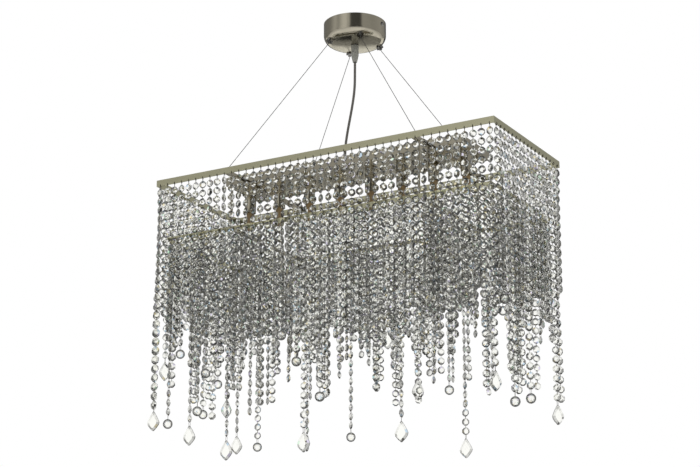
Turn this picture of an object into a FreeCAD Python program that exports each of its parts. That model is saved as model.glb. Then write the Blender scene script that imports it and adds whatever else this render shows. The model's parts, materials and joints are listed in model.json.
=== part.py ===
"""Rectangular crystal chandelier, hung on four steel cables under a round metal canopy.

Units are millimetres. The origin is the middle of the canopy's rim, on the ceiling plane.
+X runs along the long side to the right, +Y to the back and +Z up.
"""
import FreeCAD
import Part
import Sketcher

import math
import os
import re

# Driving sizes, one cell each in the spreadsheet.
SIZES = {
    # Canopy: a spun metal cup with a rounded lower edge.
    "canopy_radius": 63,
    "canopy_height": 43,
    "canopy_wall": 1,
    "canopy_edge_radius": 18,
    # Ceiling bracket: a folded strip, its lugs take the two side screws.
    "bracket_side_gap": 5,
    "bracket_width": 22,
    "bracket_thickness": 2,
    "bracket_lug_depth": 15,
    "mount_hole_spacing": 80,
    "mount_hole_radius": 2.6,
    "supply_hole_radius": 5,
    # Side screws that hold the canopy to the bracket.
    "side_screw_radius": 2,
    "side_screw_depth": 11,
    "side_screw_head_radius": 4.5,
    "side_screw_head_height": 2.6,
    "side_screw_overrun": 2,
    "screw_running_gap": 0.05,
    # Terminal block under the bracket.
    "terminal_length": 28,
    "terminal_width": 18,
    "terminal_height": 13,
    "terminal_wire_radius": 1.6,
    "terminal_wire_pitch": 8,
    # Cable grippers on the canopy's rounded edge: a barrel, its stem with a nut, a sprung nose.
    "gripper_azimuth": 49,
    "gripper_tilt": 26,
    "gripper_barrel_radius": 7,
    "gripper_barrel_length": 4,
    "gripper_stem_radius": 3.9,
    "gripper_stem_length": 9,
    "gripper_nut_radius": 6.4,
    "stem_hole_gap": 0.1,
    "nut_height": 3,
    "nut_thread_gap": 0.05,
    "nose_radius": 2.9,
    "nose_length": 9,
    "nose_reach": 3,
    "nose_travel": 2,
    "nose_slide_gap": 0.08,
    "nose_end_gap": 0.5,
    "cable_bore_radius": 0.8,
    # Cord outlet: a chrome nipple and a clamping cord grip.
    "nipple_radius": 5.5,
    "nipple_length": 3,
    "nipple_stem_radius": 4.9,
    "nipple_stem_length": 8,
    "nipple_bore_radius": 3,
    "nipple_nut_radius": 8,
    "grip_radius": 7.6,
    "grip_straight_length": 21,
    "grip_taper_length": 15,
    "grip_tip_radius": 4.3,
    "grip_screw_radius": 1.5,
    "grip_screw_drop": 15,
    "screw_end_gap": 0.2,
    "cord_radius": 2.5,
    "cord_seat_gap": 0.05,
    # Suspension.
    "hang_drop": 271,
    "cable_radius": 0.6,
    "cable_end_run": 3,
    "cable_bend_radius": 3,
    "anchor_radius": 3,
    "anchor_height": 5,
    "anchor_inset": 10,
    # Top frame: four mitred flat strips and two cross bars.
    "frame_length": 750,
    "frame_width": 295,
    "strip_thickness": 2,
    "frame_strip_height": 13,
    "cross_bar_size": 8,
    "cross_bar_half_spacing": 208,
    # Lamp tray with its lid.
    "tray_length": 531,
    "tray_width": 122,
    "tray_height": 16,
    "tray_wall": 1,
    "lid_thickness": 1,
    "lid_boss_radius": 3.5,
    "lid_boss_inset": 6,
    "lid_screw_radius": 1.5,
    "lid_screw_head_radius": 3,
    "lid_screw_head_height": 1.5,
    "lid_screw_length": 9,
    "grommet_shift": -23,
    "grommet_radius": 5.5,
    "grommet_rise": 6,
    "grommet_neck_radius": 4.2,
    # Lamps: eight sleeves in a row, each with a ceramic holder and a capsule lamp.
    "lamp_count": 8,
    "lamp_end_margin": 20.5,
    "sleeve_radius": 11,
    "sleeve_wall": 0.8,
    "sleeve_length": 44,
    "holder_radius": 9,
    "holder_height": 18,
    "holder_socket_depth": 9,
    "lamp_neck_radius": 6,
    "lamp_radius": 8,
    "lamp_length": 65,
    "lamp_tip_length": 5,
    "lamp_socket_gap": 0.2,
    "lamp_wire_radius": 3.5,
    # Lower grid that carries the inner strands.
    "grid_drop": 104.5,
    "grid_inset": 17,
    "grid_strip_height": 10,
    "grid_bar_size": 6,
    "hanger_rod_radius": 2.5,
    "hanger_rod_inset": 3.5,
    # Crystal strands.
    "hook_pitch": 17,
    "hook_end_margin": 8,
    "bead_pitch": 18,
    "bead_size": 14,
    "strand_width": 9,
    "strand_thickness": 6,
    "tail_bead_width": 13,
    "tail_bead_thickness": 6.5,
    "link_width": 1.4,
    "first_bead_drop": 13.5,
    "strand_top_gap": 0.4,
    "pendant_gap": 0.3,
    "drop_width": 27,
    "drop_height": 38,
    "drop_thickness": 12,
    "ball_diameter": 21,
    "pendant_link": 7,
}

# Heights that several pieces share, as sums of the sizes above.
UNDERSIDE = "(-canopy_height)"
GRIP_TOP = "(-canopy_height - nipple_length)"
GRIP_TIP = "(-canopy_height - nipple_length - grip_straight_length - grip_taper_length)"
FRAME_TOP = "(-canopy_height - hang_drop)"
FRAME_BOTTOM = "(-canopy_height - hang_drop - frame_strip_height)"
TRAY_BOTTOM = "(-canopy_height - hang_drop - frame_strip_height + cross_bar_size)"
LID_BOTTOM = f"({TRAY_BOTTOM} + tray_height)"
LID_TOP = f"({LID_BOTTOM} + lid_thickness)"
CORD_END = f"({LID_TOP} + grommet_rise)"
ANCHOR_TOP = f"({TRAY_BOTTOM} + anchor_height)"
HOLDER_BOTTOM = f"({TRAY_BOTTOM} - holder_height)"
GRID_TOP = f"({FRAME_BOTTOM} - grid_drop)"
GRID_BOTTOM = f"({GRID_TOP} - grid_strip_height)"

# Plan sizes that several pieces share.
BRACKET_HALF = "(canopy_radius - bracket_side_gap)"
LAMP_PITCH = "((tray_length - 2 * lamp_end_margin) / (lamp_count - 1))"
ANCHOR_Y = "(frame_width / 2 - anchor_inset)"
GRID_HALF_X = "(frame_length / 2 - grid_inset)"
GRID_HALF_Y = "(frame_width / 2 - grid_inset)"
ROD_Y = f"({GRID_HALF_Y} - strip_thickness - hanger_rod_inset)"

# Strand lengths differ on purpose. Each number is the count of a string's beads. Hooks are
# counted from the right on the long sides, and from the front on the short sides.
FRONT_BEADS = (
    25, 27, 20, 19, 18, 23, 17, 25, 23, 25, 21, 29, 24, 21, 26, 22, 21, 20, 19, 20, 26, 25, 22, 29, 21,
    24, 18, 16, 18, 17, 27, 22, 17, 29, 21, 27, 21, 25, 27, 15, 17, 26, 15, 25,
)
BACK_BEADS = (
    14, 19, 15, 24, 16, 23, 22, 14, 15, 24, 12, 16, 28, 16, 22, 21, 22, 15, 24, 13, 16, 24, 15, 21, 16,
    17, 15, 26, 14, 15, 14, 20, 18, 28, 15, 15, 14, 14, 22, 15, 26, 15, 16, 25,
)
RIGHT_BEADS = (
    17, 17, 25, 27, 27, 26, 17, 26, 16, 16, 16, 16, 18, 20, 26, 26, 14,
)
LEFT_BEADS = (
    25, 14, 19, 19, 12, 17, 15, 19, 23, 17, 23, 22, 15, 19, 15, 21, 20,
)
INNER_FRONT_BEADS = (
    16, 10, 12, 11, 15, 11, 14, 12, 15, 11, 14, 16, 13, 15, 14, 14, 13, 13, 16, 12, 15, 14, 13, 12, 11,
    12, 11, 10, 12, 12, 12, 13, 16, 12, 12, 11, 11, 14, 9, 6, 12, 10,
)
INNER_BACK_BEADS = (
    10, 13, 11, 11, 16, 10, 9, 16, 10, 9, 16, 8, 16, 8, 11, 15, 12, 12, 10, 16, 10, 11, 16, 13, 12, 10,
    12, 14, 8, 16, 14, 16, 9, 11, 11, 8, 10, 16, 16, 10, 8, 14,
)
INNER_LEFT_BEADS = (
    11, 16, 6, 7, 8, 13, 16, 10, 9, 8, 12, 10, 9, 9, 14,
)
INNER_RIGHT_BEADS = (
    13, 11, 9, 14, 10, 10, 11, 12, 11, 10, 9, 9, 12, 11, 11,
)
CROSS_LEFT_BEADS = (
    13, 9, 9, 9, 9, 16, 10, 10, 13, 14, 9, 9, 11,
)
CROSS_RIGHT_BEADS = (
    11, 12, 12, 15, 11, 10, 15, 11, 10, 9, 9, 9, 12,
)

# What hangs below the last bead of some strings, by hook.
FRONT_PENDANTS = {
    0: "turned drop", 9: "turned drop", 11: "drop", 21: "ball", 23: "drop", 24: "ball", 26: "ball",
    33: "drop", 36: "ball", 37: "ball", 38: "drop", 41: "ball", 43: "drop",
}
BACK_PENDANTS = {7: "ball", 12: "drop", 14: "ball", 22: "drop", 27: "ball", 40: "ball", 43: "drop"}
RIGHT_PENDANTS = {1: "ball", 3: "ball", 7: "ball", 14: "drop"}
LEFT_PENDANTS = {2: "drop", 5: "ball", 10: "ball", 13: "ball", 15: "drop"}

# Rings down a drop and down a ball: share of the width, share of the height.
DROP_RINGS = ((0.06, 0.0), (0.28, 0.1), (0.82, 0.42), (1.0, 0.58), (0.62, 0.82), (0.08, 1.0))
BALL_RINGS = ((0.3, 0.02), (0.9, 0.28), (0.9, 0.72), (0.3, 0.98))
PENDANT_SIDES = 6
TAIL_BEAD_COUNT = 3

# The cord's free stretch: hand-picked points from the grip's tip to the tray's grommet, as
# x, y and the depth below the tip. The last point is the grommet itself.
CORD_POINTS = (
    (0, 0, 0),
    (0, 0, 25.3),
    (-0.8, 0.4, 56),
    (-4.8, -0.5, 88),
    (-11, -0.8, 119),
    (-17.6, -0.4, 149),
    (-23, 0, 181.3),
)

SAME_PLACE = 1e-6
HOLLOW_STEPS = 4
UP = FreeCAD.Vector(0, 0, 1)
ALONG_X = FreeCAD.Rotation(FreeCAD.Vector(0, 1, 0), 90)
ALONG_Y = FreeCAD.Rotation(FreeCAD.Vector(1, 0, 0), -90)

doc = FreeCAD.newDocument("crystal_chandelier")
sheet = doc.addObject("Spreadsheet::Sheet", "sizes")
for row, (alias, value) in enumerate(SIZES.items(), start=1):
    sheet.set(f"A{row}", alias)
    sheet.set(f"B{row}", str(value))
    sheet.setAlias(f"B{row}", alias)
doc.recompute()

NODES = []


def cells(text):
    """Turn a sum of size names into an expression on the sheet's cells."""
    def sheet_name(found):
        word = found.group()
        return f"sizes.{word}" if word in SIZES else word
    return re.sub(r"[A-Za-z_]+", sheet_name, str(text))


def number(text):
    """Work a sum of size names out to a number."""
    return float(sheet.evalExpression(cells(text)))


def bind(thing, **sums):
    """Bind properties to sums of size names."""
    for name, text in sums.items():
        thing.setExpression(name, cells(text))


def place(thing, x=0, y=0, z=0, turn=None):
    """Bind a thing's place, and turn it if asked."""
    if turn is not None:
        thing.Placement = FreeCAD.Placement(FreeCAD.Vector(), turn)
    for axis, text in zip("xyz", (x, y, z)):
        thing.setExpression(f"Placement.Base.{axis}", cells(text))
    return thing


def node(thing, label):
    """Name a finished sub-part. Its label names its file."""
    thing.Label = label
    NODES.append(thing)
    return thing


def box(length, width, height, x=0, y=0, z=0):
    """A block centred on x and y, standing on z."""
    block = doc.addObject("Part::Box", "block")
    bind(block, Length=length, Width=width, Height=height)
    return place(block, f"{x} - ({length}) / 2", f"{y} - ({width}) / 2", z)


def cylinder(radius, length, x=0, y=0, z=0, turn=None):
    """A round bar that starts at its place and runs along its turned Z axis."""
    bar = doc.addObject("Part::Cylinder", "bar")
    bind(bar, Radius=radius, Height=length)
    return place(bar, x, y, z, turn)


def cone(start_radius, end_radius, length, x=0, y=0, z=0, turn=None):
    """A tapered round bar."""
    bar = doc.addObject("Part::Cone", "taper")
    bind(bar, Radius1=start_radius, Radius2=end_radius, Height=length)
    return place(bar, x, y, z, turn)


def fuse(pieces):
    """Join pieces into one solid."""
    joined = doc.addObject("Part::MultiFuse", "joined")
    joined.Shapes = pieces
    return joined


def cut(base, tools):
    """Take tools away from a base."""
    tool = tools[0] if len(tools) == 1 else group(tools)
    result = doc.addObject("Part::Cut", "cut")
    result.Base = base
    result.Tool = tool
    return result


def group(pieces):
    """Keep pieces as separate solids of one sub-part."""
    bundle = doc.addObject("Part::Compound", "bundle")
    bundle.Links = pieces
    return bundle


def profile(body, plane_role, corners):
    """A closed sketch on one of a body's planes, its corners bound to sums of sizes."""
    planes = {feature.Role: feature for feature in body.Origin.OriginFeatures}
    sketch = body.newObject("Sketcher::SketchObject", "profile")
    sketch.AttachmentSupport = [(planes[plane_role], "")]
    sketch.MapMode = "FlatFace"
    points = [FreeCAD.Vector(number(x), number(y), 0) for x, y in corners]
    for start, end in zip(points, points[1:] + points[:1]):
        sketch.addGeometry(Part.LineSegment(start, end))
    for edge in range(len(corners)):
        following = (edge + 1) % len(corners)
        sketch.addConstraint(Sketcher.Constraint("Coincident", edge, 2, following, 1))
    for edge, corner in enumerate(corners):
        for kind, text in zip(("DistanceX", "DistanceY"), corner):
            value = number(text)
            index = sketch.addConstraint(Sketcher.Constraint(kind, -1, 1, edge, 1, value))
            sketch.setExpression(f"Constraints[{index}]", cells(text))
    return sketch


def turned_body(corners, x=0, y=0):
    """A body turned about a vertical axis from its half profile, given as radius and height."""
    body = doc.addObject("PartDesign::Body", "turned")
    body.AllowCompound = True
    sketch = profile(body, "XZ_Plane", corners)
    turning = body.newObject("PartDesign::Revolution", "turning")
    turning.Profile = sketch
    turning.ReferenceAxis = (sketch, ["V_Axis"])
    turning.Angle = 360
    body.Tip = turning
    place(body, x, y)
    return body


def row_of_turned(corners, count, pitch):
    """Equal turned pieces in a row along X, centred on the middle."""
    body = turned_body(corners, x=f"-({count} - 1) * {pitch} / 2")
    turning = body.Tip
    sketch = turning.Profile[0]
    row = body.newObject("PartDesign::LinearPattern", "row")
    row.Originals = [turning]
    row.Direction = (sketch, ["H_Axis"])
    bind(row, Length=f"({count} - 1) * {pitch}", Occurrences=count)
    body.Tip = row
    return body


def padded_body(corners, height, z):
    """A plan outline raised to a height."""
    body = doc.addObject("PartDesign::Body", "padded")
    sketch = profile(body, "XY_Plane", corners)
    pad = body.newObject("PartDesign::Pad", "pad")
    pad.Profile = sketch
    bind(pad, Length=height)
    body.Tip = pad
    return place(body, z=z)


def fixed_shape(shape, label):
    """A sub-part whose shape is made here from sizes read off the sheet."""
    piece = doc.addObject("Part::Feature", label)
    piece.Shape = shape
    piece.Placement = FreeCAD.Placement()
    return node(piece, label)


def four_corners(half_x, half_y):
    """The plan places of four like pieces."""
    return [(f"{sx} * {half_x}", f"{sy} * {half_y}") for sx in (-1, 1) for sy in (-1, 1)]


def ceiling_bracket():
    """The folded strip that is screwed to the ceiling."""
    half = BRACKET_HALF
    inner = f"({BRACKET_HALF} - bracket_thickness)"
    outline = [(f"-{half}", "0"), (half, "0"), (half, "-bracket_lug_depth"), (inner, "-bracket_lug_depth"),
               (inner, "-bracket_thickness"), (f"-{inner}", "-bracket_thickness"),
               (f"-{inner}", "-bracket_lug_depth"), (f"-{half}", "-bracket_lug_depth")]
    body = doc.addObject("PartDesign::Body", "strip")
    pad = body.newObject("PartDesign::Pad", "fold")
    pad.Profile = profile(body, "XZ_Plane", outline)
    pad.SideType = "Symmetric"
    bind(pad, Length="bracket_width")
    body.Tip = pad
    holes = [cylinder("mount_hole_radius", "bracket_thickness", f"{side} * mount_hole_spacing / 2", 0,
                      "-bracket_thickness") for side in (-1, 1)]
    holes.append(cylinder("supply_hole_radius", "bracket_thickness", 0, 0, "-bracket_thickness"))
    holes.append(cylinder("side_screw_radius + screw_running_gap", f"2 * {half}", f"-{half}", 0,
                          "-side_screw_depth", ALONG_X))
    node(cut(body, holes), "ceiling_bracket")


def rounded_cup(radius, depth, edge_radius):
    """A round block that hangs from the ceiling plane, with its lower edge rounded."""
    body = turned_body([("0", f"-{depth}"), (radius, f"-{depth}"), (radius, "0"), ("0", "0")])
    doc.recompute()
    turning = body.Tip
    rim = next(index for index, edge in enumerate(turning.Shape.Edges, start=1)
               if isinstance(edge.Curve, Part.Circle)
               and abs(edge.Curve.Center.z + number(depth)) < SAME_PLACE)
    rounding = body.newObject("PartDesign::Fillet", "rounding")
    rounding.Base = (turning, [f"Edge{rim}"])
    bind(rounding, Radius=edge_radius)
    body.Tip = rounding
    return body


def hollow_corners():
    """The canopy's inside, with its rounded corner as a few straight steps, one wall off the outside."""
    inner = "(canopy_radius - canopy_wall)"
    centre = "(canopy_radius - canopy_edge_radius)"
    bend = "(canopy_edge_radius - canopy_wall)"
    corners = [("0", "0")]
    corners.append(("0", "canopy_wall - canopy_height"))
    for step in range(HOLLOW_STEPS + 1):
        angle = math.pi / 2 * step / HOLLOW_STEPS
        corners.append((f"{centre} + {bend} * {math.sin(angle):.9f}",
                        f"canopy_edge_radius - canopy_height - {bend} * {math.cos(angle):.9f}"))
    corners.append((inner, "0"))
    return corners


def canopy():
    """The metal cup under the ceiling, with its cord, gripper and side screw holes."""
    outside = rounded_cup("canopy_radius", "canopy_height", "canopy_edge_radius")
    inside = turned_body(hollow_corners())
    holes = [inside, cylinder("nipple_stem_radius + stem_hole_gap", "canopy_wall", 0, 0, UNDERSIDE)]
    holes.append(cylinder("side_screw_radius + screw_running_gap", "canopy_radius * 2", "-canopy_radius", 0,
                          "-side_screw_depth", ALONG_X))
    for seat, outward in gripper_axes():
        holes.append(on_axis("gripper_stem_radius + stem_hole_gap", "canopy_wall * 4",
                             seat - outward * number("canopy_wall * 3"), outward))
    node(cut(outside, holes), "canopy")


def side_screws():
    """Two domed screws that pass through the canopy's wall into the bracket's lugs."""
    reach = "(bracket_side_gap + bracket_thickness + side_screw_overrun)"
    for side, label in ((-1, "side_screw_left"), (1, "side_screw_right")):
        turn = FreeCAD.Rotation(FreeCAD.Vector(0, 1, 0), 90 * side)
        shank = cylinder("side_screw_radius", reach, f"{side} * (canopy_radius - {reach})", 0,
                         "-side_screw_depth", turn)
        head = cone("side_screw_head_radius", "side_screw_head_radius * 0.6", "side_screw_head_height",
                    f"{side} * canopy_radius", 0, "-side_screw_depth", turn)
        node(fuse([shank, head]), label)


def terminal_blocks():
    """A wire terminal under the bracket and one on the tray's floor."""
    for label, x, z in (("terminal_block", 0, "-bracket_thickness - terminal_height"),
                        ("tray_terminal", "grommet_shift", f"{TRAY_BOTTOM} + tray_wall")):
        block = box("terminal_length", "terminal_width", "terminal_height", x, 0, z)
        wires = [cylinder("terminal_wire_radius", "terminal_width", f"{x} + {step} * terminal_wire_pitch",
                          "-terminal_width / 2", f"{z} + terminal_height / 2", ALONG_Y)
                 for step in (-1, 0, 1)]
        node(cut(block, wires), label)


def gripper_axes():
    """The seat of each gripper on the canopy's rounded edge, and the way it points."""
    azimuth = math.radians(number("gripper_azimuth"))
    tilt = math.radians(number("gripper_tilt"))
    edge = number("canopy_edge_radius")
    reach = number("canopy_radius") - edge + edge * math.sin(tilt)
    height = number("-canopy_height + canopy_edge_radius") - edge * math.cos(tilt)
    axes = []
    for side_x in (-1, 1):
        for side_y in (-1, 1):
            radial = FreeCAD.Vector(side_x * math.cos(azimuth), side_y * math.sin(azimuth), 0)
            outward = radial * math.sin(tilt) - UP * math.cos(tilt)
            axes.append((radial * reach + UP * height, outward))
    return axes


def on_axis(radius, length, start, direction):
    """A round bar from a point along a slanted direction."""
    bar = doc.addObject("Part::Cylinder", "bar")
    bind(bar, Radius=radius, Height=length)
    bar.Placement = FreeCAD.Placement(start, FreeCAD.Rotation(UP, direction))
    return bar


def hex_nut(circumradius, stem_radius, start, direction):
    """A nut on a threaded stem."""
    blank = doc.addObject("Part::Prism", "blank")
    blank.Polygon = 6
    bind(blank, Circumradius=circumradius, Height="nut_height")
    blank.Placement = FreeCAD.Placement(start, FreeCAD.Rotation(UP, direction))
    return cut(blank, [on_axis(f"{stem_radius} + nut_thread_gap", "nut_height", start, direction)])


def grippers():
    """Four cable grippers: barrels outside, nuts inside and a sprung nose in each."""
    barrel_length = number("gripper_barrel_length")
    slide_depth = "(nose_length - nose_reach + nose_travel + nose_end_gap)"
    hollow_radius = number("canopy_edge_radius - canopy_wall")
    nut_radius = number("gripper_nut_radius")
    hollow = hollow_radius - math.sqrt(hollow_radius ** 2 - nut_radius ** 2)
    step_depth = hollow_radius * (1 - math.cos(math.pi / 4 / HOLLOW_STEPS))
    nut_seat = number("canopy_wall + nut_thread_gap") + hollow + step_depth
    bodies = []
    nuts = []
    for count, (seat, outward) in enumerate(gripper_axes(), start=1):
        mouth = seat + outward * barrel_length
        tip = mouth + outward * number("nose_reach")
        inward = outward * -1
        stem = on_axis("gripper_stem_radius", "gripper_stem_length", seat, inward)
        barrel = on_axis("gripper_barrel_radius", "gripper_barrel_length", seat, outward)
        slide = on_axis("nose_radius + nose_slide_gap", slide_depth, mouth, inward)
        bore = on_axis("cable_bore_radius", "gripper_barrel_length + gripper_stem_length", mouth, inward)
        bodies.append(cut(fuse([stem, barrel]), [slide, bore]))
        nuts.append(hex_nut("gripper_nut_radius", "gripper_stem_radius", seat + inward * nut_seat, inward))
        nose = on_axis("nose_radius", "nose_length", tip, inward)
        nose_bore = on_axis("cable_bore_radius", "nose_length", tip, inward)
        node(cut(nose, [nose_bore]), f"gripper_nose_{count}")
    node(group(bodies), "gripper_bodies")
    node(group(nuts), "gripper_nuts")


def cord_outlet():
    """The chrome nipple, its nut, the clamping grip, its screw and the cord's clamped end."""
    stem_top = f"({UNDERSIDE} + nipple_stem_length)"
    node(turned_body([
        ("nipple_bore_radius", GRIP_TOP), ("nipple_radius", GRIP_TOP), ("nipple_radius", UNDERSIDE),
        ("nipple_stem_radius", UNDERSIDE), ("nipple_stem_radius", stem_top),
        ("nipple_bore_radius", stem_top)]), "cord_nipple")
    node(hex_nut("nipple_nut_radius", "nipple_stem_radius", UP * number(f"{UNDERSIDE} + canopy_wall"), UP),
         "cord_nipple_nut")
    bore = "cord_radius + cord_seat_gap"
    shoulder = f"({GRIP_TIP} + grip_taper_length)"
    grip = turned_body([
        (bore, GRIP_TIP), ("grip_tip_radius", GRIP_TIP), ("grip_radius", shoulder),
        ("grip_radius", GRIP_TOP), (bore, GRIP_TOP)])
    screw_height = f"({GRIP_TOP} - grip_screw_drop)"
    screw_length = "(grip_radius - cord_radius - screw_end_gap)"
    hole = cylinder("grip_screw_radius + nut_thread_gap", "grip_radius", 0, "-grip_radius", screw_height,
                    ALONG_Y)
    node(cut(grip, [hole]), "cord_grip")
    node(cylinder("grip_screw_radius", screw_length, 0, "-grip_radius", screw_height, ALONG_Y),
         "grip_screw")
    tail_top = "(-bracket_thickness - terminal_height)"
    node(cylinder("cord_radius", f"{tail_top} - {GRIP_TIP}", 0, 0, GRIP_TIP), "cord_tail")


def frame_rails(prefix, half_x, half_y, height, z):
    """Four flat strips, mitred where they meet, of the top frame or the lower grid."""
    inner_x = f"({half_x} - strip_thickness)"
    inner_y = f"({half_y} - strip_thickness)"
    for side, sign in (("front", "-"), ("back", "")):
        corners = [(f"-{half_x}", f"{sign}{half_y}"), (half_x, f"{sign}{half_y}"),
                   (inner_x, f"{sign}{inner_y}"), (f"-{inner_x}", f"{sign}{inner_y}")]
        node(padded_body(corners, height, z), f"{prefix}_{side}_rail")
    for side, sign in (("left", "-"), ("right", "")):
        corners = [(f"{sign}{half_x}", f"-{half_y}"), (f"{sign}{half_x}", half_y),
                   (f"{sign}{inner_x}", inner_y), (f"{sign}{inner_x}", f"-{inner_y}")]
        node(padded_body(corners, height, z), f"{prefix}_{side}_rail")


def carriers():
    """The cross bars, the cable anchors on them and the rods that carry the lower grid."""
    bar_x = [f"{side} * cross_bar_half_spacing" for side in (-1, 1)]
    span = "(frame_width - 2 * strip_thickness)"
    node(group([box("cross_bar_size", span, "cross_bar_size", x, 0, FRAME_BOTTOM) for x in bar_x]),
         "cross_bars")
    node(group([cylinder("anchor_radius", "anchor_height", x, y, TRAY_BOTTOM)
                for x, y in four_corners("cross_bar_half_spacing", ANCHOR_Y)]), "cable_anchors")
    node(group([cylinder("hanger_rod_radius", "grid_drop", x, y, GRID_TOP)
                for x, y in four_corners("cross_bar_half_spacing", ROD_Y)]), "hanger_rods")
    grid_span = f"(2 * {GRID_HALF_Y} - 2 * strip_thickness)"
    node(group([box("grid_bar_size", grid_span, "grid_bar_size", x, 0, f"{GRID_TOP} - grid_bar_size")
                for x in bar_x]), "grid_cross_bars")


def lamp_places():
    """The lamps' places along X, in a row under the tray."""
    return [f"({step} - (lamp_count - 1) / 2) * {LAMP_PITCH}" for step in range(int(number("lamp_count")))]


def lamp_tray():
    """The shallow metal tray that carries the lamps, with its lid, lid screws and cord grommet."""
    inner_length = "(tray_length - 2 * tray_wall)"
    inner_width = "(tray_width - 2 * tray_wall)"
    floor = f"({TRAY_BOTTOM} + tray_wall)"
    shell = box("tray_length", "tray_width", "tray_height", 0, 0, TRAY_BOTTOM)
    hollow = box(inner_length, inner_width, "tray_height - tray_wall", 0, 0, floor)
    corners = four_corners("(tray_length / 2 - lid_boss_inset)", "(tray_width / 2 - lid_boss_inset)")
    bosses = [cylinder("lid_boss_radius", "tray_height - tray_wall", x, y, floor) for x, y in corners]
    screw_bottom = f"({LID_TOP} - lid_screw_length)"
    threads = [cylinder("lid_screw_radius", f"{LID_BOTTOM} - {screw_bottom}", x, y, screw_bottom)
               for x, y in corners]
    wires = [cylinder("lamp_wire_radius", "tray_wall", x, 0, TRAY_BOTTOM) for x in lamp_places()]
    node(cut(fuse([cut(shell, [hollow])] + bosses), threads + wires), "lamp_tray")
    lid = box("tray_length", "tray_width", "lid_thickness", 0, 0, LID_BOTTOM)
    holes = [cylinder("lid_screw_radius", "lid_thickness", x, y, LID_BOTTOM) for x, y in corners]
    holes.append(cylinder("grommet_neck_radius", "lid_thickness", "grommet_shift", 0, LID_BOTTOM))
    node(cut(lid, holes), "tray_lid")
    node(group([fuse([cylinder("lid_screw_radius", "lid_screw_length", x, y, screw_bottom),
                      cylinder("lid_screw_head_radius", "lid_screw_head_height", x, y, LID_TOP)])
                for x, y in corners]), "lid_screws")
    lip_bottom = f"({LID_BOTTOM} - lid_thickness)"
    node(turned_body([
        ("0", lip_bottom), ("grommet_radius", lip_bottom), ("grommet_radius", LID_BOTTOM),
        ("grommet_neck_radius", LID_BOTTOM), ("grommet_neck_radius", LID_TOP),
        ("grommet_radius", LID_TOP), ("cord_radius + lid_thickness", CORD_END), ("0", CORD_END)],
        x="grommet_shift"), "cord_grommet")


def lamps():
    """A row of metal sleeves under the tray, with ceramic holders and capsule lamps."""
    sleeve_bottom = f"({TRAY_BOTTOM} - sleeve_length)"
    sleeve_bore = "(sleeve_radius - sleeve_wall)"
    node(row_of_turned([
        (sleeve_bore, sleeve_bottom), ("sleeve_radius", sleeve_bottom), ("sleeve_radius", TRAY_BOTTOM),
        (sleeve_bore, TRAY_BOTTOM)], "lamp_count", LAMP_PITCH), "lamp_sleeves")
    socket = "(lamp_neck_radius + lamp_socket_gap)"
    socket_top = f"({HOLDER_BOTTOM} + holder_socket_depth)"
    node(row_of_turned([
        (socket, HOLDER_BOTTOM), ("holder_radius", HOLDER_BOTTOM), ("holder_radius", TRAY_BOTTOM),
        ("0", TRAY_BOTTOM), ("0", socket_top), (socket, socket_top)], "lamp_count", LAMP_PITCH),
        "lamp_holders")
    tip = f"({HOLDER_BOTTOM} - lamp_length)"
    neck_top = f"({socket_top} - lamp_socket_gap)"
    node(row_of_turned([
        ("0", tip), ("lamp_radius / 2", tip), ("lamp_radius", f"{tip} + lamp_tip_length"),
        ("lamp_radius", HOLDER_BOTTOM), ("lamp_neck_radius", HOLDER_BOTTOM),
        ("lamp_neck_radius", neck_top), ("0", neck_top)], "lamp_count", LAMP_PITCH), "bulbs")


def ring(x, y, z, half_x, half_y, sides=4):
    """A flat ring of points about a vertical axis. Four sides give a rectangle."""
    if sides == 4:
        signs = ((-1, -1), (1, -1), (1, 1), (-1, 1))
        return [FreeCAD.Vector(x + sx * half_x, y + sy * half_y, z) for sx, sy in signs]
    angles = [2 * math.pi * step / sides for step in range(sides)]
    return [FreeCAD.Vector(x + half_x * math.cos(a), y + half_y * math.sin(a), z) for a in angles]


def faceted_solid(rings):
    """A solid with flat sides through rings of like points."""
    faces = []
    for lower, upper in zip(rings, rings[1:]):
        for index in range(len(lower)):
            after = (index + 1) % len(lower)
            outline = [lower[index], lower[after], upper[after], upper[index], lower[index]]
            faces.append(Part.Face(Part.makePolygon(outline)))
    for end in (rings[0], rings[-1]):
        faces.append(Part.Face(Part.makePolygon(end + end[:1])))
    solid = Part.Solid(Part.Shell(faces))
    if solid.Volume < 0:
        solid.reverse()
    return solid


def strand(x, y, top, wide_along_x, length, pointed=True):
    """A string of beads as a slim bar, on a pointed link where it hangs from the top frame."""
    half_x = number("strand_width") / 2
    half_y = number("strand_thickness") / 2
    link = number("link_width") / 2
    if not wide_along_x:
        half_x, half_y = half_y, half_x
    if pointed:
        rings = [ring(x, y, top - number("strand_top_gap"), link, link),
                 ring(x, y, top - number("first_bead_drop"), half_x, half_y)]
    else:
        rings = [ring(x, y, top, half_x, half_y)]
    rings.append(ring(x, y, top - length, half_x, half_y))
    return faceted_solid(rings)


def strand_length(beads):
    """From the strip down to the last bead's lower end."""
    return number("first_bead_drop + bead_size / 2") + (beads - 1) * number("bead_pitch")


def cut_beads(x, y, top, wide_along_x, beads):
    """The last beads of a string, each a crystal with a belt, joined by links."""
    half_x = number("tail_bead_width") / 2
    half_y = number("tail_bead_thickness") / 2
    if not wide_along_x:
        half_x, half_y = half_y, half_x
    link = number("link_width") / 2
    pitch = number("bead_pitch")
    size = number("bead_size")
    rings = [ring(x, y, top - number("pendant_gap"), link, link)]
    for step in range(beads):
        bead_top = top - (step + 1) * pitch + size
        rings.append(ring(x, y, bead_top - size / 2, half_x, half_y))
        rings.append(ring(x, y, bead_top - size, link, link))
    return faceted_solid(rings)


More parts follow.
